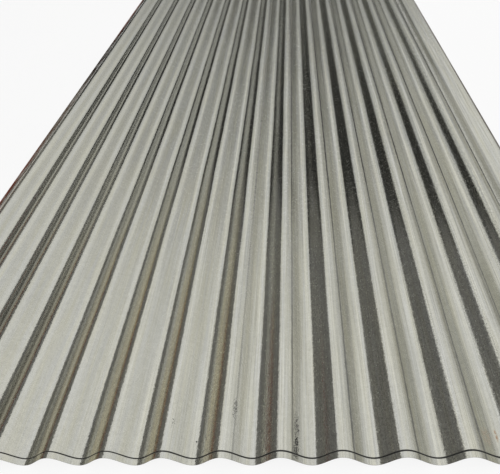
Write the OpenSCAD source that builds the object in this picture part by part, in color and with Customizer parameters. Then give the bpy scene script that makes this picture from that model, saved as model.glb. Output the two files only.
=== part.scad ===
// Corrugated galvanised steel sheet: one rolled piece with plain cut ends.
// The waves run along Y, X is across the sheet, and the troughs rest on Z = 0.
// The origin is the middle of the underside.

/* [Corrugation] */
// Distance from one crest to the next
pitch = 76.2; // [60:0.1:100]
// Depth of the profile, from the underside of a trough to the top of a crest
depth = 19; // [14:0.1:24]
// Slope of the straight flanks between the bends, in degrees
flank_angle = 38; // [29:0.5:48]
// Number of crests across the sheet
crest_count = 14; // [3:1:20]
// Flat facets in each bend: an odd number gives every crest and trough a level one
bend_facets = 11; // [5:2:21]

/* [Sheet] */
// Length along the corrugations
sheet_l = 2400; // [600:50:6000]
// Thickness of the coated metal
sheet_t = 0.5; // [0.3:0.05:1.5]

/* [Right edge] */
// Width of the flatter, under-formed strip beyond the middle of the last trough
lip_w = 38; // [20:1:60]
// Slope of that strip, in degrees
lip_angle = 8; // [1:1:15]

/* [Hidden] */
galvanised = [0.72, 0.72, 0.69];

half_t = sheet_t / 2;
half_pitch = pitch / 2;
// Rise of the sheet's middle line from a trough to a crest
mid_rise = depth - sheet_t;
// Radius of the middle line at which two bends and a flank of the stated slope fill half a pitch
bend_r = (half_pitch * sin(flank_angle) - mid_rise * cos(flank_angle)) / (2 * (1 - cos(flank_angle)));
// Turn from one facet to the next, with the two flanks as the first and last
facet_turn = 2 * flank_angle / (bend_facets + 1);
trough_centre_z = bend_r + half_t;
crest_centre_z = depth - bend_r - half_t;
// Straight length of the strip at the right edge, from the end of its bend to the cut
lip_straight = (lip_w - bend_r * sin(lip_angle)) / cos(lip_angle);
// The edge is cut square to the strip, so its lower corner reaches furthest
overall_w = crest_count * pitch + lip_w + half_t * sin(lip_angle);
left_x = -overall_w / 2;

// In the profile, side is 1 on the upper surface and -1 on the lower one.
// A bend is a row of facets that each touch the true arc, so the wall and the depth come out exact.

// Distance from a bend's centre to its facets, where up is 1 for a crest and -1 for a trough
function facet_r(side, up) = bend_r + side * up * half_t;

// Point at an angle from the vertical through a bend's centre
function bend_point(x, r, angle, up) =
    [x + r * sin(angle), (up > 0 ? crest_centre_z : trough_centre_z) + up * r * cos(angle)];

// Corners between a bend's facets, from corner number first to corner number last
function bend_corners(x, side, up, first, last) = [
    for (corner = [first : last])
        bend_point(
            x,
            facet_r(side, up) / cos(facet_turn / 2),
            (corner + 0.5) * facet_turn - flank_angle,
            up
        )
];

function crest_corners(x, side) = bend_corners(x, side, 1, 0, bend_facets);
function trough_corners(x, side) = bend_corners(x, side, -1, 0, bend_facets);

// The left edge stands at the bottom of a trough, in the middle of its level facet
function left_edge(side) = concat(
    [bend_point(left_x, facet_r(side, -1), 0, -1)],
    bend_corners(left_x, side, -1, (bend_facets + 1) / 2, bend_facets)
);

// The last trough stays open: past its level facet the sheet runs on as a shallow strip
function right_edge(x, side) =
    let (
        r = facet_r(side, -1),
        strip_start = bend_point(x, r, lip_angle, -1)
    )
    concat(
        bend_corners(x, side, -1, 0, (bend_facets - 1) / 2),
        [
            bend_point(x, r / cos(lip_angle / 2), lip_angle / 2, -1),
            strip_start + lip_straight * [cos(lip_angle), sin(lip_angle)]
        ]
    );

// One surface of the sheet from the left edge to the right, a crest and a trough at a time
function surface_line(side) = concat(
    left_edge(side),
    [
        for (wave = [1 : crest_count])
            let (trough_x = left_x + wave * pitch)
            each concat(
                crest_corners(trough_x - half_pitch, side),
                wave < crest_count ? trough_corners(trough_x, side) : right_edge(trough_x, side)
            )
    ]
);

function reversed(points) = [for (i = [len(points) - 1 : -1 : 0]) points[i]];

module corrugated_sheet() {
    color(galvanised)
        rotate([90, 0, 0])
            linear_extrude(height = sheet_l, center = true)
                polygon(concat(surface_line(1), reversed(surface_line(-1))));
}

corrugated_sheet();
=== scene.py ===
import math
import random

import bpy
from mathutils import Matrix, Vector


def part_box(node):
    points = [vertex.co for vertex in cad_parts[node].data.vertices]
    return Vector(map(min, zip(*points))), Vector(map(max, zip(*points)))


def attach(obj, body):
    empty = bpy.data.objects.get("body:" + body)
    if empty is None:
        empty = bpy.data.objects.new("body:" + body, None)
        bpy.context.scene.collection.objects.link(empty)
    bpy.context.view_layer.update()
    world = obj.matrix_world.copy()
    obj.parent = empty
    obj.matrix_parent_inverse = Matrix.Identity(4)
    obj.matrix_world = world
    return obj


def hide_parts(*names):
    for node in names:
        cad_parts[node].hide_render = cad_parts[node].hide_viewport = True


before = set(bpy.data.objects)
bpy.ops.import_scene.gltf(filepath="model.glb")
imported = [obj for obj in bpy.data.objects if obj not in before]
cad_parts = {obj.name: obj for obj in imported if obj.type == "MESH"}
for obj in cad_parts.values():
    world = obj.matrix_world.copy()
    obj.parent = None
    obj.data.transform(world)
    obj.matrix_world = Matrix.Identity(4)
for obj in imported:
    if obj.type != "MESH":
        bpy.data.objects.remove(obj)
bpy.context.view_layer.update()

# Profile of the sheet, in metres and radians
PITCH = 0.0762
SHEET_T = 0.0005
CREST_COUNT = 14
LIP_W = 0.038
LIP_ANGLE = math.radians(8)

# The rest of the profile follows from the frame
low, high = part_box("corrugated_sheet")
LEFT_X = low[0]
RIGHT_X = high[0]
NEAR_Y = low[1]
FAR_Y = high[1]
DEPTH = high[2] - low[2]
WAVES_W = CREST_COUNT * PITCH
HALF_T = SHEET_T / 2
WAVE_HALF_H = (DEPTH - SHEET_T) / 2
TURN_RATE = 2 * math.pi / PITCH

# Fineness of the sheet's mesh, and the angle from which two faces meet in a sharp edge
WAVE_STEPS = 32
LIP_STEPS = 5
ROWS = 80
SHARP_ANGLE = math.radians(40)

# Unevenness of the waves: a sideways spread, a lean of the last ones on the right and a slight sway
SPREAD_WHOLE = -0.0009
SPREAD_HALVES = 0.0024
LEAN = 0.0022
LEAN_XS = (0.1, 0.48)
LEAN_EDGE_W = 0.05
SWAY = 0.00025
SWAY_LENGTHS = (0.55, 0.31, 1.3)
SEED = 7

# Camera, from the vanishing lines and wave spacing of the photograph
CAMERA_PLACE = (0.145, -1.537, 0.644)
CAMERA_PITCH = math.radians(38.97)
CAMERA_YAW = math.radians(8.53)
CAMERA_ROLL = math.radians(-8.22)
CAMERA_LENS = 38.88
SENSOR_W = 36.0

# Colours of the sheet and its marks, linear like all colours here
WARM_ZINC = (0.552, 0.545, 0.466)
COOL_ZINC = (0.54, 0.543, 0.507)
# Black of the grime, also used for the painted shadow line near the end and the painted reflection
# lines on the crests
BLACK_OF_GRIME_AND_PAINTED_LINES = (0.014, 0.014, 0.013)
RUST = (0.42, 0.23, 0.11)
# Painted shade along the right edge
RIGHT_EDGE_SHADE_BROWN = (0.05, 0.026, 0.018)
# Painted reflection down the left edge: its near, far and red rim colours
LEFT_REFLECTION_NEAR = (0.15, 0.116, 0.088)
LEFT_REFLECTION_FAR = (0.046, 0.036, 0.029)
LEFT_REFLECTION_RED = (0.17, 0.05, 0.032)
CUT_STEEL = (0.16, 0.16, 0.15)
CUT_RUST = (0.12, 0.055, 0.025)

# Colours of the floor and of the cards
WHITE = (1.0, 1.0, 1.0)
FLOOR_COLOUR = (0.9, 0.9, 0.9)
GREY_WALL = (0.29, 0.288, 0.284)
DARK_WALL = (0.045, 0.045, 0.044)
FAR_DARK_WALL = (0.14, 0.14, 0.13)
FAR_DARK_FOOT = (0.075, 0.075, 0.07)
BROWN = (0.40, 0.36, 0.29)
DULL_TAN = (0.57, 0.51, 0.40)
TAN = (0.67, 0.61, 0.47)
KHAKI = (0.67, 0.66, 0.57)
RED_STRIP = (0.20, 0.008, 0.005)
DARK_HORIZON = (0.26, 0.26, 0.245)
DIM_HORIZON = (0.38, 0.38, 0.345)

# Noise textures of the sheet: factor on the length, scale, detail and roughness
TEXTURES = {
    "streaks": (0.012, 420.0, 3.0, 0.6),
    "hairlines": (0.007, 850.0, 2.0, 0.6),
    "tints": (0.04, 110.0, 4.0, 0.7),
    "clouds": (0.35, 9.0, 4.0, 0.6),
    "grain": (1.0, 420.0, 1.0, 0.5),
    "mottle": (0.6, 520.0, 3.0, 0.65),
    "fleck": (1.0, 900.0, 2.0, 0.6),
    "flank_dirt": (0.7, 520.0, 3.0, 0.7),
    "speckle": (1.0, 700.0, 2.0, 0.6),
    "wander": (1.0, 14.0, 2.0, 0.5),
    # The next two roughen and break the painted reflection lines on the crest shoulders
    "reflection_line_edge": (0.3, 260.0, 3.0, 0.6),
    "reflection_line_gaps": (0.25, 420.0, 3.0, 0.6),
    "side_edge": (0.2, 30.0, 4.0, 0.6),
    # Patches of the painted reflection down the left edge
    "left_reflection_patches": (0.35, 40.0, 4.0, 0.7),
    "cut_rust": (1.0, 60.0, 4.0, 0.6),
}
SPANGLE_SCALE = 190.0

# Share of each texture in the zinc's tone; streaks and flecks change from the left to the middle
STREAKS_TONE = 0.4
HAIRLINES_TONE = 0.6
SPANGLE_TONE = 0.07
CLOUDS_TONE = 0.12
TINTS_STEP = (0.3, 0.7)
LEFT_TO_MIDDLE_XS = (-0.4, 0.15)
LENGTHWISE_GAINS = (0.28, 1.15)
FLECK_TONES = (0.75, 0.42)
LEFT_DIM_XS = (-0.4, 0.1)
LEFT_DIM = 0.96

# Dirt on the flanks that face left: where in a wave it rises, is full, falls and ends, and its tones
DIRT_PHASES = (0.06, 0.16, 0.36, 0.46)
DIRT_STEP = (0.3, 0.62)
DIRT_TONES = (0.62, 1.12)

# Painted reflection on the same flanks near the end: what it leaves of the zinc's colour far left,
# where it darkens them, and further in, where it tints them tan
FLANK_REFLECTION_LEFT = (0.33, 0.315, 0.285)
FLANK_REFLECTION_MIDDLE = (1.06, 1.0, 0.87)
FLANK_REFLECTION_PHASES = (0.14, 0.22, 0.36, 0.42)
FLANK_REFLECTION_TINT_XS = (-0.46, -0.16)
FLANK_REFLECTION_FADE_XS = (-0.02, 0.06)
FLANK_REFLECTION_LENGTHS = (0.25, 0.8)

# Roughness of the zinc, what dull marks add to it and take off the metal, and the bumps
MOTTLE_STEP = (0.42, 0.7)
MOTTLE_ROUGH = (0.13, 0.28)
CLOUDS_ROUGH = 0.08
SPANGLE_ROUGH = 0.05
DULL_ROUGH = 0.4
DULL_METAL_LOSS = 0.8
PLAIN_SPECULAR = 0.5
GRAIN_BUMP_H = 0.0002
GRAIN_BUMP_XS = (-0.1, 0.3)
GRAIN_BUMP_STRENGTHS = (1.0, 0.45)
STREAK_BUMP_H = 0.000015

# Marks on the sheet: place across it, place from the near end, half width, half length and strength
GRIME_SPOTS = (
    (0.1115, 0.014, 0.0050, 0.022, 0.8),
    (0.1120, 0.046, 0.0050, 0.030, 0.65),
    (0.1100, 0.560, 0.0045, 0.130, 0.55),
    (0.0305, 0.072, 0.0050, 0.024, 0.55),
    (-0.0505, 0.050, 0.0040, 0.012, 0.35),
)
DARK_DOT = (-0.0193, 0.0319, 0.0013, 0.0013, 1.0)
RUST_SPOTS = (
    (0.3580, 0.038, 0.0020, 0.011, 0.75),
    (0.3440, 0.033, 0.0080, 0.016, 0.3),
)
SPECKLE_GAIN = 0.3
SPECKLE_STEP = (0.66, 0.76)
SPECKLE_FIELD_STEP = (0.02, 0.3)
DARK_DOT_STEP = (0.1, 0.5)
RUST_STEP = (0.3, 0.6)

# Painted shadow: thin dark line across the sheet, near its end and wider on the right, standing for the
# shaded edge of a sheet lying on top
END_LINE_FROM_END = 0.009
END_LINE_HALF_WS = (0.0010, 0.0014)
END_LINE_XS = (-0.25, 0.15)
END_LINE_WANDER = 0.0006
END_LINE_CORE = 0.6

# Painted reflection down the left edge, brown with a red rim: its width, and the lengths at which it
# darkens and at which its rim is red
LEFT_REFLECTION_W = 0.033
LEFT_REFLECTION_CORE = 0.8
LEFT_REFLECTION_WANDER = 0.012
LEFT_REFLECTION_PATCH_STEP = (0.32, 0.58)
LEFT_REFLECTION_PATCH_STRENGTHS = (0.65, 1.0)
LEFT_REFLECTION_DARKENS = (1.05, 1.4)
LEFT_REFLECTION_RED_W = 0.016
LEFT_REFLECTION_RED_ENDS = (0.75, 1.0)
LEFT_REFLECTION_RED_RESUMES = (1.55, 1.8)

# Painted shade: dark line along the right edge, standing for its shaded cut edge
RIGHT_LINE_W = 0.0048
RIGHT_LINE_CORE = 0.4
RIGHT_LINE_STEP = (0.3, 0.55)
RIGHT_LINE_STRENGTHS = (0.4, 0.9)
RIGHT_LINE_COVER = 0.9

# Painted reflection: dark line on the right shoulder of the crests: its place from the crest, which it
# nears on the right and far along, its half widths, and where it starts, darkens and fades
REFLECTION_LINE_OFFSET = 0.0140
REFLECTION_LINE_NEARER = 0.009
REFLECTION_LINE_NEARER_XS = (0.05, 0.42)
REFLECTION_LINE_NEARER_LENGTHS = (0.2, 1.7)
REFLECTION_LINE_HALF_WS = (0.0015, 0.0021)
REFLECTION_LINE_WIDENS = (0.3, 0.9)
REFLECTION_LINE_CORE = 0.5
REFLECTION_LINE_ROUGH_EDGE = 0.002
REFLECTION_LINE_GAP_STEP = (0.32, 0.6)
REFLECTION_LINE_GAP_STRENGTHS = (0.8, 1.0)
REFLECTION_LINE_STARTS_XS = (-0.06, 0.16)
REFLECTION_LINE_DARKENS = (0.35, 0.65)
REFLECTION_LINE_STRENGTHS = (0.65, 1.0)
REFLECTION_LINE_FADES = (1.3, 2.6)

# Cut edge
CUT_RUST_STEP = (0.45, 0.7)
CUT_METAL = 0.7
CUT_ROUGH = 0.5

# Floor: its reach, and how white it looks to the camera and in reflections
FLOOR_REACH = 40.0
FLOOR_WHITE_SHARE = 0.86

# Upright cards for the zinc to mirror: place across, two ends, foot, top at each end and colour
WALL_X = -2.0
DARK_X = -1.98
FOOT_X = -1.97
SKIRT_X = -1.96
SKIRT_TOP = 0.43
RED_X = -0.8
RED_FOOT = 0.165
RED_TOP = 0.225
CARDS = {
    "side_card": (WALL_X, (-12.0, 7.0), 0.0, (4.83, 1.88), GREY_WALL),
    "side_card_far": (WALL_X, (7.0, 14.0), 0.0, (1.88, 2.95), GREY_WALL),
    "dark_card": (DARK_X, (2.6, 5.8), 0.0, (2.55, 2.04), DARK_WALL),
    "dark_card_next": (DARK_X, (5.8, 7.0), 0.0, (2.04, 1.85), FAR_DARK_WALL),
    "dark_card_foot": (FOOT_X, (5.8, 13.5), 0.0, (1.15, 1.15), FAR_DARK_FOOT),
    "dark_card_far": (DARK_X, (7.0, 13.5), 0.0, (1.85, 2.8), FAR_DARK_WALL),
    "brown_skirt": (SKIRT_X, (-12.0, -0.15), 0.0, (SKIRT_TOP, SKIRT_TOP), BROWN),
    "dull_tan_skirt": (SKIRT_X, (-0.15, 0.35), 0.0, (SKIRT_TOP, SKIRT_TOP), DULL_TAN),
    "tan_skirt": (SKIRT_X, (0.35, 0.9), 0.0, (SKIRT_TOP, SKIRT_TOP), TAN),
    "khaki_skirt": (SKIRT_X, (0.9, 3.2), 0.0, (SKIRT_TOP, 0.03), KHAKI),
    "red_strip": (RED_X, (-2.0, -0.4), RED_FOOT, (RED_TOP, RED_TOP), RED_STRIP),
    "red_strip_end": (RED_X, (-0.4, -0.02), RED_FOOT, (RED_TOP, 0.17), RED_STRIP),
}

# Bands low on the horizon: two azimuths, with 0 ahead and 90 to the right, two elevations and colour
HORIZON_RADIUS = 4.0
HORIZON_STEPS = 24
HORIZON_STRIPS = {
    "dark_strip": ((3.0, 26.0), (1.5, 11.5), DARK_HORIZON),
    "dim_strip": ((26.0, 34.0), (1.5, 11.0), DIM_HORIZON),
}

# Brightness of the surroundings by the sine of the height above the horizon, from left to right
SKY_LEFT = (
    (0.0, (0.38, 0.385, 0.37)),
    (0.24, (0.385, 0.39, 0.38)),
    (0.34, (0.50, 0.505, 0.50)),
    (0.42, (0.655, 0.66, 0.65)),
    (0.5, (0.755, 0.76, 0.75)),
    (0.64, (0.93, 0.93, 0.92)),
    (0.8, (1.0, 1.0, 1.0)),
)
SKY_AHEAD = (
    (0.0, (0.38, 0.385, 0.37)),
    (0.24, (0.39, 0.395, 0.385)),
    (0.30, (0.455, 0.46, 0.45)),
    (0.36, (0.64, 0.64, 0.63)),
    (0.42, (0.82, 0.82, 0.81)),
    (0.5, (0.91, 0.91, 0.90)),
    (0.64, (0.97, 0.97, 0.96)),
    (0.8, (1.0, 1.0, 1.0)),
)
SKY_BETWEEN = (
    (0.0, (0.40, 0.40, 0.38)),
    (0.20, (0.41, 0.415, 0.40)),
    (0.30, (0.47, 0.475, 0.465)),
    (0.39, (0.51, 0.51, 0.50)),
    (0.43, (0.62, 0.62, 0.61)),
    (0.55, (0.76, 0.76, 0.75)),
    (0.66, (0.86, 0.86, 0.85)),
    (0.85, (1.0, 1.0, 1.0)),
)
SKY_RIGHT = (
    (0.0, (0.46, 0.46, 0.41)),
    (0.10, (0.48, 0.475, 0.43)),
    (0.15, (0.42, 0.415, 0.375)),
    (0.22, (0.43, 0.425, 0.39)),
    (0.28, (0.58, 0.575, 0.54)),
    (0.31, (0.68, 0.675, 0.64)),
    (0.36, (0.73, 0.725, 0.70)),
    (0.42, (0.80, 0.80, 0.78)),
    (0.55, (0.88, 0.88, 0.86)),
    (0.7, (0.95, 0.95, 0.94)),
    (0.87, (1.0, 1.0, 1.0)),
)
# Further parts of the sky, each with the two X of the direction between which it takes over
SKY_PARTS = (
    ((-0.2, 0.12), SKY_AHEAD),
    ((0.18, 0.28), SKY_BETWEEN),
    ((0.40, 0.50), SKY_RIGHT),
)


class Graph:
    """A node tree, with short calls for adding and joining nodes."""

    def __init__(self, tree):
        self.tree = tree
        tree.nodes.clear()

    def feed(self, socket, value):
        """Join an output to a socket, or set the socket to a number or colour."""
        if isinstance(value, bpy.types.NodeSocket):
            self.tree.links.new(value, socket)
        else:
            socket.default_value = value

    def node(self, kind, inputs=None, **settings):
        made = self.tree.nodes.new("ShaderNode" + kind)
        for name, value in settings.items():
            setattr(made, name, value)
        for name, value in (inputs or {}).items():
            self.feed(made.inputs[name], value)
        return made

    def math(self, operation, *values):
        """An operation on one or two values, and then on each further value in turn."""
        made = self.node("Math", operation=operation)
        for socket, value in zip(made.inputs, values[:2]):
            self.feed(socket, value)
        result = made.outputs[0]
        further = values[2:]
        return self.math(operation, result, *further) if further else result

    def ramp(self, value, start, end, out_start=0.0, out_end=1.0):
        """A smooth step from out_start to out_end as value goes from start to end."""
        inputs = {
            "Value": value,
            "From Min": start,
            "From Max": end,
            "To Min": out_start,
            "To Max": out_end,
        }
        return self.node("MapRange", inputs, interpolation_type="SMOOTHSTEP").outputs["Result"]

    def fall(self, value, start, end):
        """1 up to start, falling smoothly to 0 at end."""
        return self.ramp(value, start, end, 1.0, 0.0)

    def noise(self, place, name):
        """One of the noise textures at a place on the sheet."""
        stretch, scale, detail, roughness = TEXTURES[name]
        mapping = self.node("Mapping", {"Vector": place, "Scale": (1.0, stretch, 1.0)})
        vector = mapping.outputs["Vector"]
        inputs = {"Vector": vector, "Scale": scale, "Detail": detail, "Roughness": roughness}
        return self.node("TexNoise", inputs).outputs["Fac"]

    def mix(self, factor, first, second):
        made = self.node("Mix", data_type="RGBA")
        colours = [socket for socket in made.inputs if socket.type == "RGBA"]
        self.feed(made.inputs["Factor"], factor)
        self.feed(colours[0], first)
        self.feed(colours[1], second)
        return next(socket for socket in made.outputs if socket.type == "RGBA")

    def surface(self, shader, output="BSDF"):
        self.node("OutputMaterial", {"Surface": shader.outputs[output]})


class Coat(Graph):
    """Node tree of the zinc coat, with the places and textures that its parts share."""

    def __init__(self, tree):
        super().__init__(tree)
        self.place = self.node("TexCoord").outputs["Object"]
        axes = self.node("SeparateXYZ", {"Vector": self.place}).outputs
        self.x = axes["X"]
        self.along = self.math("SUBTRACT", axes["Y"], NEAR_Y)
        cells = self.node("TexVoronoi", {"Vector": self.place, "Scale": SPANGLE_SCALE})
        split = self.node("SeparateColor", {"Color": cells.outputs["Color"]})
        self.textures = {"spangle": split.outputs["Red"]}

    def texture(self, name):
        """The spangle or a noise texture, which is made when it is first asked for."""
        if name not in self.textures:
            self.textures[name] = self.noise(self.place, name)
        return self.textures[name]

    def centred(self, name, amount):
        """A texture around 0, at the stated amount."""
        return self.math("MULTIPLY", self.math("SUBTRACT", self.texture(name), 0.5), amount)


def opaque(colour):
    return (*colour, 1.0)


def limited(share):
    return min(max(share, 0), 1)


def wave_point(across):
    """Point of the sheet's middle line at a distance from its left edge: x, z and the slope there."""
    turn = TURN_RATE * across
    z = HALF_T + WAVE_HALF_H * (1 - math.cos(turn))
    return (LEFT_X + across, z, math.atan(WAVE_HALF_H * TURN_RATE * math.sin(turn)))


def straight(start, end, steps):
    """Points strictly between two points of equal slope, and the end point."""
    return [
        tuple(a + (b - a) * step / steps for a, b in zip(start, end))
        for step in range(1, steps + 1)
    ]


def middle_line():
    """The sheet's section from its left edge to the end of the shallow strip on the right."""
    line = [wave_point(PITCH * step / WAVE_STEPS) for step in range(CREST_COUNT * WAVE_STEPS + 1)]
    bend_w = math.asin(math.tan(LIP_ANGLE) / (WAVE_HALF_H * TURN_RATE)) / TURN_RATE
    for step in range(1, LIP_STEPS + 1):
        line.append(wave_point(WAVES_W + bend_w * step / LIP_STEPS))
    x, z, slope = line[-1]
    strip_w = LIP_W - bend_w
    end = (x + strip_w, z + strip_w * math.tan(LIP_ANGLE), slope)
    return line + straight(line[-1], end, LIP_STEPS)


def spread_of(x):
    """Sideways shift of the waves at a place across the sheet; the two edges stay."""
    share = math.pi * (x - LEFT_X) / (RIGHT_X - LEFT_X)
    return SPREAD_WHOLE * math.sin(share) + SPREAD_HALVES * math.sin(2 * share)


def lean_of(x, z):
    """Sideways shift that leans a wave: its crest moves to the left and its troughs to the right."""
    rightward = limited((x - LEAN_XS[0]) / (LEAN_XS[1] - LEAN_XS[0]))
    held = limited((RIGHT_X - x) / LEAN_EDGE_W)
    return -LEAN * rightward ** 2 * held * (z - HALF_T - WAVE_HALF_H) / WAVE_HALF_H


def sway_phases():
    """Random starting angles of the sway, a set for every half wave."""
    rng = random.Random(SEED)
    return [[rng.uniform(0, 2 * math.pi) for _ in SWAY_LENGTHS] for _ in range(2 * CREST_COUNT + 3)]


def half_wave_sway(phases, y):
    """Small sideways shift of one half wave at a place along the sheet."""
    return SWAY * sum(
        math.sin(2 * math.pi * y / length + phase) for length, phase in zip(SWAY_LENGTHS, phases)
    )


def sway_of(phases, x, y):
    """Sway at a place, between those of the half waves beside it; the two edges stay."""
    place = (x - LEFT_X) / PITCH * 2
    index = min(int(place), len(phases) - 2)
    share = place - index
    before = half_wave_sway(phases[index], y)
    after = half_wave_sway(phases[index + 1], y)
    shift = (1 - share) * before + share * after
    return shift * math.sin(math.pi * limited((x - LEFT_X) / (WAVES_W + LIP_W)))


def sheet_points(line):
    """Points of the upper surface and then of the lower one, in rows from the near end."""
    phases = sway_phases()
    points = []
    for side in (1, -1):
        for row in range(ROWS + 1):
            y = NEAR_Y + (FAR_Y - NEAR_Y) * row / ROWS
            for x, z, slope in line:
                surface_x = x - side * HALF_T * math.sin(slope)
                surface_z = z + side * HALF_T * math.cos(slope)
                shifted_x = surface_x + spread_of(x) + lean_of(x, z) + sway_of(phases, x, y)
                points.append((shifted_x, y, surface_z))
    return points


def sheet_faces(columns):
    """Quads of both surfaces and of the four cut edges; the second list is of the edges."""
    below = columns * (ROWS + 1)
    last = columns - 1

    def at(row, column, lower=False):
        return row * columns + column + (below if lower else 0)

    skin = []
    for row in range(ROWS):
        for column in range(last):
            upper = [at(row, column), at(row, column + 1), at(row + 1, column + 1), at(row + 1, column)]
            skin.append(upper)
            skin.append([index + below for index in reversed(upper)])
    cuts = []
    for column in range(last):
        cuts.append([at(0, column, True), at(0, column + 1, True), at(0, column + 1), at(0, column)])
        cuts.append(
            [at(ROWS, column), at(ROWS, column + 1), at(ROWS, column + 1, True), at(ROWS, column, True)]
        )
    for row in range(ROWS):
        cuts.append([at(row, 0), at(row + 1, 0), at(row + 1, 0, True), at(row, 0, True)])
        cuts.append([at(row, last, True), at(row + 1, last, True), at(row + 1, last), at(row, last)])
    return skin, cuts


def mesh_object(name, points, faces, materials):
    mesh = bpy.data.meshes.new(name)
    mesh.from_pydata(points, [], faces)
    for material in materials:
        mesh.materials.append(material)
    made = bpy.data.objects.new(name, mesh)
    bpy.context.scene.collection.objects.link(made)
    return made


def make_sheet(skin_material, cut_material):
    """The whole sheet as one closed mesh, smooth but for its cut edges."""
    line = middle_line()
    skin, cuts = sheet_faces(len(line))
    sheet = mesh_object("rolled_sheet", sheet_points(line), skin + cuts, (skin_material, cut_material))
    mesh = sheet.data
    for number, polygon in enumerate(mesh.polygons):
        polygon.use_smooth = number < len(skin)
        polygon.material_index = 0 if number < len(skin) else 1
    mesh.set_sharp_from_angle(angle=SHARP_ANGLE)
    mesh.update()
    return sheet


def spot(coat, centre_x, from_end, half_w, half_l):
    """1 in the middle of an oval place on the sheet, falling smoothly to 0 at its rim."""
    across = coat.math("DIVIDE", coat.math("SUBTRACT", coat.x, centre_x), half_w)
    along = coat.math("DIVIDE", coat.math("SUBTRACT", coat.along, from_end), half_l)
    squares = [coat.math("MULTIPLY", offset, offset) for offset in (across, along)]
    return coat.fall(coat.math("ADD", *squares), 0.0, 1.0)


def spots(coat, rows):
    """Several oval places together, each at its own strength."""
    total = 0.0
    for *oval, strength in rows:
        total = coat.math("ADD", total, coat.math("MULTIPLY", spot(coat, *oval), strength))
    return total


def speckles(coat):
    """Black speckles in a few streaks."""
    fields = spots(coat, GRIME_SPOTS)
    raised = coat.math("ADD", coat.texture("speckle"), coat.math("MULTIPLY", fields, SPECKLE_GAIN))
    inside = coat.ramp(fields, *SPECKLE_FIELD_STEP)
    return coat.math("MULTIPLY", coat.ramp(raised, *SPECKLE_STEP), inside)


def painted_end_shadow(coat):
    """Painted shadow: thin dark line that follows the waves near the sheet's end, for the shaded edge
    of a sheet lying on top.
    """
    off_line = coat.math("ABSOLUTE", coat.math("SUBTRACT", coat.along, END_LINE_FROM_END))
    off_line = coat.math("SUBTRACT", off_line, coat.centred("wander", END_LINE_WANDER))
    half_w = coat.ramp(coat.x, *END_LINE_XS, *END_LINE_HALF_WS)
    return coat.fall(coat.math("DIVIDE", off_line, half_w), END_LINE_CORE, 1.0)


def unspread(coat):
    """Place across the sheet with the uneven spacing of the waves taken off."""
    from_left = coat.math("SUBTRACT", coat.x, LEFT_X)
    share = coat.math("MULTIPLY", from_left, math.pi / (RIGHT_X - LEFT_X))
    whole = coat.math("MULTIPLY", coat.math("SINE", share), SPREAD_WHOLE)
    double = coat.math("MULTIPLY", share, 2.0)
    halves = coat.math("MULTIPLY", coat.math("SINE", double), SPREAD_HALVES)
    return coat.math("SUBTRACT", coat.x, whole, halves)


def reflection_line_distance(coat):
    """Distance across the sheet from the middle of the nearest painted reflection line."""
    rightward = coat.ramp(coat.x, *REFLECTION_LINE_NEARER_XS, 0.0, REFLECTION_LINE_NEARER)
    nearer = coat.math("MULTIPLY", rightward, coat.ramp(coat.along, *REFLECTION_LINE_NEARER_LENGTHS))
    first_line = LEFT_X + PITCH / 2 + REFLECTION_LINE_OFFSET
    across = coat.math("ADD", coat.math("SUBTRACT", unspread(coat), first_line), nearer)
    share = coat.math("FRACT", coat.math("ADD", coat.math("DIVIDE", across, PITCH), 0.5))
    return coat.math("MULTIPLY", coat.math("ABSOLUTE", coat.math("SUBTRACT", share, 0.5)), PITCH)


def painted_reflection_lines(coat):
    """Painted reflection: dark line on the right shoulder of the crests, on the right half of the
    sheet.
    """
    apart = coat.math("ADD", reflection_line_distance(coat), coat.centred("reflection_line_edge", REFLECTION_LINE_ROUGH_EDGE))
    half_w = coat.ramp(coat.along, *REFLECTION_LINE_WIDENS, *REFLECTION_LINE_HALF_WS)
    line = coat.fall(coat.math("DIVIDE", apart, half_w), REFLECTION_LINE_CORE, 1.0)
    broken = coat.ramp(coat.texture("reflection_line_gaps"), *REFLECTION_LINE_GAP_STEP, *REFLECTION_LINE_GAP_STRENGTHS)
    strong = coat.ramp(coat.along, *REFLECTION_LINE_DARKENS, *REFLECTION_LINE_STRENGTHS)
    fading = coat.fall(coat.along, *REFLECTION_LINE_FADES)
    rightward = coat.ramp(coat.x, *REFLECTION_LINE_STARTS_XS)
    return coat.math("MULTIPLY", line, broken, strong, fading, rightward)


def grime_and_painted_lines_mask(coat):
    """All the black marks: real speckles and one dot, the painted shadow line near the end and the
    painted reflection lines.
    """
    dot = coat.ramp(spots(coat, (DARK_DOT,)), *DARK_DOT_STEP)
    return coat.math("MAXIMUM", speckles(coat), dot, painted_end_shadow(coat), painted_reflection_lines(coat))


def wave_stretch(coat, phases):
    """1 on a stretch of each wave; phases say where it rises, is full, falls and ends."""
    across = coat.math("SUBTRACT", unspread(coat), LEFT_X)
    phase = coat.math("FRACT", coat.math("DIVIDE", across, PITCH))
    rises, full, falls, ends = phases
    return coat.math("MULTIPLY", coat.ramp(phase, rises, full), coat.fall(phase, falls, ends))


def flank_dirt(coat):
    """Factor on the tone that speckles the flanks that face left."""
    on_waves = coat.math("LESS_THAN", coat.x, LEFT_X + WAVES_W)
    flank = coat.math("MULTIPLY", wave_stretch(coat, DIRT_PHASES), on_waves)
    speckled = coat.ramp(coat.texture("flank_dirt"), *DIRT_STEP, *DIRT_TONES)
    change = coat.math("SUBTRACT", speckled, 1.0)
    return coat.math("ADD", 1.0, coat.math("MULTIPLY", flank, change))


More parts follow.
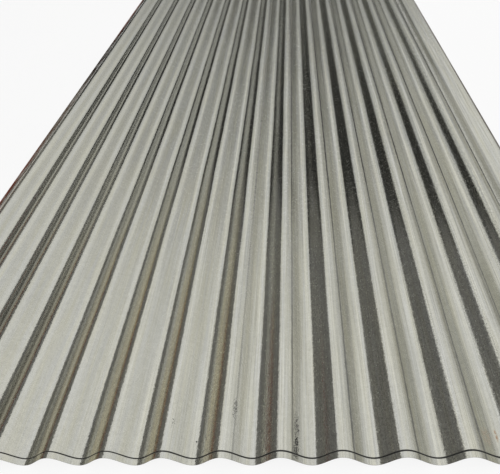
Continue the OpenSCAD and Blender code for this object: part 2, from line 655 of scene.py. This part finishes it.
def zinc_tone(coat):
    """Brightness of the zinc around 1: rolling streaks, flecks, spangle, clouds and dirt."""
    streaks = coat.centred("streaks", STREAKS_TONE)
    lengthwise = coat.math("ADD", streaks, coat.centred("hairlines", HAIRLINES_TONE))
    gain = coat.ramp(coat.x, *LEFT_TO_MIDDLE_XS, *LENGTHWISE_GAINS)
    flecks = coat.centred("fleck", coat.ramp(coat.x, *LEFT_TO_MIDDLE_XS, *FLECK_TONES))
    spangle = coat.centred("spangle", SPANGLE_TONE)
    tone = coat.math("ADD", 1.0, coat.math("MULTIPLY", lengthwise, gain), flecks, spangle)
    tone = coat.math("MULTIPLY", tone, coat.ramp(coat.x, *LEFT_DIM_XS, LEFT_DIM, 1.0))
    tone = coat.math("ADD", tone, coat.centred("clouds", CLOUDS_TONE))
    return coat.math("MULTIPLY", tone, flank_dirt(coat))


def painted_flank_reflection(coat):
    """Painted reflection on the left-facing flanks near the end: what it leaves of the zinc's colour,
    white where there is none.
    """
    leftward = coat.fall(coat.x, *FLANK_REFLECTION_FADE_XS)
    near = coat.fall(coat.along, *FLANK_REFLECTION_LENGTHS)
    mask = coat.math("MULTIPLY", wave_stretch(coat, FLANK_REFLECTION_PHASES), leftward, near)
    tint = coat.mix(coat.ramp(coat.x, *FLANK_REFLECTION_TINT_XS), opaque(FLANK_REFLECTION_LEFT), opaque(FLANK_REFLECTION_MIDDLE))
    return coat.mix(mask, opaque(WHITE), tint)


def zinc_colour(coat):
    """Cooler and warmer zinc in streaks, at its tone and under the painted reflection on the
    left-facing flanks.
    """
    warmth = coat.ramp(coat.texture("tints"), *TINTS_STEP)
    zinc = coat.mix(warmth, opaque(COOL_ZINC), opaque(WARM_ZINC))
    toned = coat.node("VectorMath", {"Vector": zinc, "Scale": zinc_tone(coat)}, operation="SCALE")
    factors = {0: toned.outputs["Vector"], 1: painted_flank_reflection(coat)}
    return coat.node("VectorMath", factors, operation="MULTIPLY").outputs["Vector"]


def painted_left_reflection(coat):
    """Painted reflection down the left edge: brown, darker further along and red at its rim in two
    stretches.
    """
    across = coat.math("ADD", coat.x, coat.centred("side_edge", LEFT_REFLECTION_WANDER))
    mask = coat.fall(across, LEFT_X + LEFT_REFLECTION_W * LEFT_REFLECTION_CORE, LEFT_X + LEFT_REFLECTION_W)
    patches = coat.ramp(coat.texture("left_reflection_patches"), *LEFT_REFLECTION_PATCH_STEP, *LEFT_REFLECTION_PATCH_STRENGTHS)
    brown = coat.mix(coat.ramp(coat.along, *LEFT_REFLECTION_DARKENS), opaque(LEFT_REFLECTION_NEAR), opaque(LEFT_REFLECTION_FAR))
    near_red = coat.fall(coat.along, *LEFT_REFLECTION_RED_ENDS)
    reddened = coat.math("MAXIMUM", near_red, coat.ramp(coat.along, *LEFT_REFLECTION_RED_RESUMES))
    rim = coat.fall(across, LEFT_X, LEFT_X + LEFT_REFLECTION_RED_W)
    colour = coat.mix(coat.math("MULTIPLY", rim, reddened), brown, opaque(LEFT_REFLECTION_RED))
    return coat.math("MULTIPLY", mask, patches), colour


def painted_right_edge_shade(coat):
    """Painted shade: dark line along the right edge, paler in places."""
    line = coat.ramp(coat.x, RIGHT_X - RIGHT_LINE_W, RIGHT_X - RIGHT_LINE_W * RIGHT_LINE_CORE)
    uneven = coat.ramp(coat.texture("side_edge"), *RIGHT_LINE_STEP, *RIGHT_LINE_STRENGTHS)
    return coat.math("MULTIPLY", line, uneven)


def coat_roughness(coat, dull):
    """Mottled roughness of the zinc, and more of it where marks make it dull."""
    mottled = coat.ramp(coat.texture("mottle"), *MOTTLE_STEP, *MOTTLE_ROUGH)
    clouds = coat.centred("clouds", CLOUDS_ROUGH)
    spangle = coat.centred("spangle", SPANGLE_ROUGH)
    return coat.math("ADD", mottled, clouds, spangle, coat.math("MULTIPLY", dull, DULL_ROUGH))


def coat_normal(coat):
    """Bumps of the grain, stronger on the left, and of the rolling streaks."""
    strength = coat.ramp(coat.x, *GRAIN_BUMP_XS, *GRAIN_BUMP_STRENGTHS)
    grain = {"Strength": strength, "Distance": GRAIN_BUMP_H, "Height": coat.texture("grain")}
    grained = coat.node("Bump", grain).outputs["Normal"]
    streaks = {"Strength": 1.0, "Distance": STREAK_BUMP_H, "Height": coat.texture("streaks")}
    return coat.node("Bump", {**streaks, "Normal": grained}).outputs["Normal"]


def new_material(name):
    material = bpy.data.materials.new(name)
    material.use_nodes = True
    return material


def galvanised_material():
    """Zinc-coated steel with rust and grime, and with painted reflections and painted shade laid over
    the zinc: a matt band down the left edge and dark lines near the end, along the right edge and on
    the crest shoulders.
    """
    material = new_material("galvanised_steel")
    coat = Coat(material.node_tree)
    # Painted reflection down the left edge, matt and not metallic
    left_reflection_mask, left_reflection_colour = painted_left_reflection(coat)
    # Painted shade along the right edge
    right_edge_shade = painted_right_edge_shade(coat)
    rust = coat.math("MULTIPLY", spots(coat, RUST_SPOTS), coat.ramp(coat.texture("grain"), *RUST_STEP))
    # Real grime together with the painted shadow line near the end and the painted reflection lines
    grime_and_painted_lines = grime_and_painted_lines_mask(coat)
    colour = coat.mix(left_reflection_mask, zinc_colour(coat), left_reflection_colour)
    colour = coat.mix(coat.math("MULTIPLY", right_edge_shade, RIGHT_LINE_COVER), colour, opaque(RIGHT_EDGE_SHADE_BROWN))
    colour = coat.mix(rust, colour, opaque(RUST))
    colour = coat.mix(grime_and_painted_lines, colour, opaque(BLACK_OF_GRIME_AND_PAINTED_LINES))
    dull = coat.math("MAXIMUM", grime_and_painted_lines, rust, left_reflection_mask, right_edge_shade)
    metal = coat.math("SUBTRACT", 1.0, coat.math("MULTIPLY", dull, DULL_METAL_LOSS))
    outside_left_reflection = coat.math("SUBTRACT", 1.0, left_reflection_mask)
    looks = {
        "Base Color": colour,
        "Metallic": coat.math("MULTIPLY", metal, outside_left_reflection),
        "Roughness": coat_roughness(coat, dull),
        "Specular IOR Level": coat.math("MULTIPLY", outside_left_reflection, PLAIN_SPECULAR),
        "Normal": coat_normal(coat),
    }
    coat.surface(coat.node("BsdfPrincipled", looks))
    return material


def cut_edge_material():
    """Sheared edge of the steel: darker, with traces of rust."""
    material = new_material("cut_edge")
    graph = Graph(material.node_tree)
    place = graph.node("TexCoord").outputs["Object"]
    rust = graph.ramp(graph.noise(place, "cut_rust"), *CUT_RUST_STEP)
    colour = graph.mix(rust, opaque(CUT_STEEL), opaque(CUT_RUST))
    looks = {"Base Color": colour, "Metallic": CUT_METAL, "Roughness": CUT_ROUGH}
    graph.surface(graph.node("BsdfPrincipled", looks))
    return material


def diffuse_material(name, colour):
    material = new_material(name)
    graph = Graph(material.node_tree)
    graph.surface(graph.node("BsdfDiffuse", {"Color": opaque(colour)}))
    return material


def floor_material():
    """Pale matt floor, nearly white to the camera and in reflections, that keeps its shadows."""
    material = new_material("pale_floor")
    graph = Graph(material.node_tree)
    path = graph.node("LightPath").outputs
    rays = [path[f"Is {kind} Ray"] for kind in ("Camera", "Glossy", "Transmission")]
    share = graph.math("MULTIPLY", graph.math("MAXIMUM", *rays), FLOOR_WHITE_SHARE)
    matt = graph.node("BsdfDiffuse", {"Color": opaque(FLOOR_COLOUR)})
    white = graph.node("Emission", {"Color": opaque(WHITE), "Strength": 1.0})
    layers = {"Fac": share, 1: matt.outputs["BSDF"], 2: white.outputs["Emission"]}
    graph.surface(graph.node("MixShader", layers), "Shader")
    return material


def plain_plane(name, corners, material):
    plane = mesh_object(name, corners, [list(range(len(corners)))], (material,))
    return plane


def upright_card(name, x, ends, foot, tops, colour):
    """Card that stands along the set, out of the camera's sight."""
    corners = [(x, ends[0], foot), (x, ends[1], foot), (x, ends[1], tops[1]), (x, ends[0], tops[0])]
    card = plain_plane(name, corners, diffuse_material(name, colour))
    card.visible_camera = False


def horizon_strip(name, azimuths, elevations, colour):
    """Dark band round part of the horizon, out of the camera's sight."""
    points = []
    for step in range(HORIZON_STEPS + 1):
        turn = math.radians(azimuths[0] + (azimuths[1] - azimuths[0]) * step / HORIZON_STEPS)
        for elevation in elevations:
            height = HORIZON_RADIUS * math.tan(math.radians(elevation))
            points.append((HORIZON_RADIUS * math.sin(turn), HORIZON_RADIUS * math.cos(turn), height))
    faces = [[2 * step, 2 * step + 2, 2 * step + 3, 2 * step + 1] for step in range(HORIZON_STEPS)]
    strip = mesh_object(name, points, faces, (diffuse_material(name, colour),))
    strip.visible_camera = False


def sky_ramp(graph, height, rows):
    """Colours of one part of the sky, from the horizon up."""
    ramp = graph.node("ValToRGB", {"Fac": height})
    stops = ramp.color_ramp.elements
    while len(stops) < len(rows):
        stops.new(1.0)
    for stop, (place, colour) in zip(stops, rows):
        stop.position = place
        stop.color = opaque(colour)
    return ramp.outputs["Color"]


def make_world():
    """Soft light from above that falls off towards the horizon."""
    world = bpy.data.worlds.new("soft_studio")
    bpy.context.scene.world = world
    world.use_nodes = True
    graph = Graph(world.node_tree)
    direction = graph.node("TexCoord").outputs["Generated"]
    axes = graph.node("SeparateXYZ", {"Vector": direction}).outputs
    colour = sky_ramp(graph, axes["Z"], SKY_LEFT)
    for takes_over, rows in SKY_PARTS:
        share = graph.ramp(axes["X"], *takes_over)
        colour = graph.mix(share, colour, sky_ramp(graph, axes["Z"], rows))
    light = graph.node("Background", {"Color": colour, "Strength": 1.0})
    graph.node("OutputWorld", {"Surface": light.outputs["Background"]})


def make_set():
    signs = ((-1, -1), (1, -1), (1, 1), (-1, 1))
    corners = [(FLOOR_REACH * across, FLOOR_REACH * along, 0.0) for across, along in signs]
    plain_plane("floor", corners, floor_material())
    for name, card in CARDS.items():
        upright_card(name, *card)
    for name, strip in HORIZON_STRIPS.items():
        horizon_strip(name, *strip)
    make_world()


def make_camera():
    data = bpy.data.cameras.new("camera")
    data.sensor_width = SENSOR_W
    data.lens = CAMERA_LENS
    camera = bpy.data.objects.new("camera", data)
    bpy.context.scene.collection.objects.link(camera)
    turn = (
        Matrix.Rotation(CAMERA_YAW, 4, "Z")
        @ Matrix.Rotation(math.pi / 2 - CAMERA_PITCH, 4, "X")
        @ Matrix.Rotation(CAMERA_ROLL, 4, "Z")
    )
    camera.matrix_world = Matrix.Translation(CAMERA_PLACE) @ turn
    bpy.context.scene.camera = camera


make_camera()
make_set()
sheet = make_sheet(galvanised_material(), cut_edge_material())
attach(sheet, "root")
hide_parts("corrugated_sheet")
bpy.context.scene.view_settings.view_transform = "Standard"
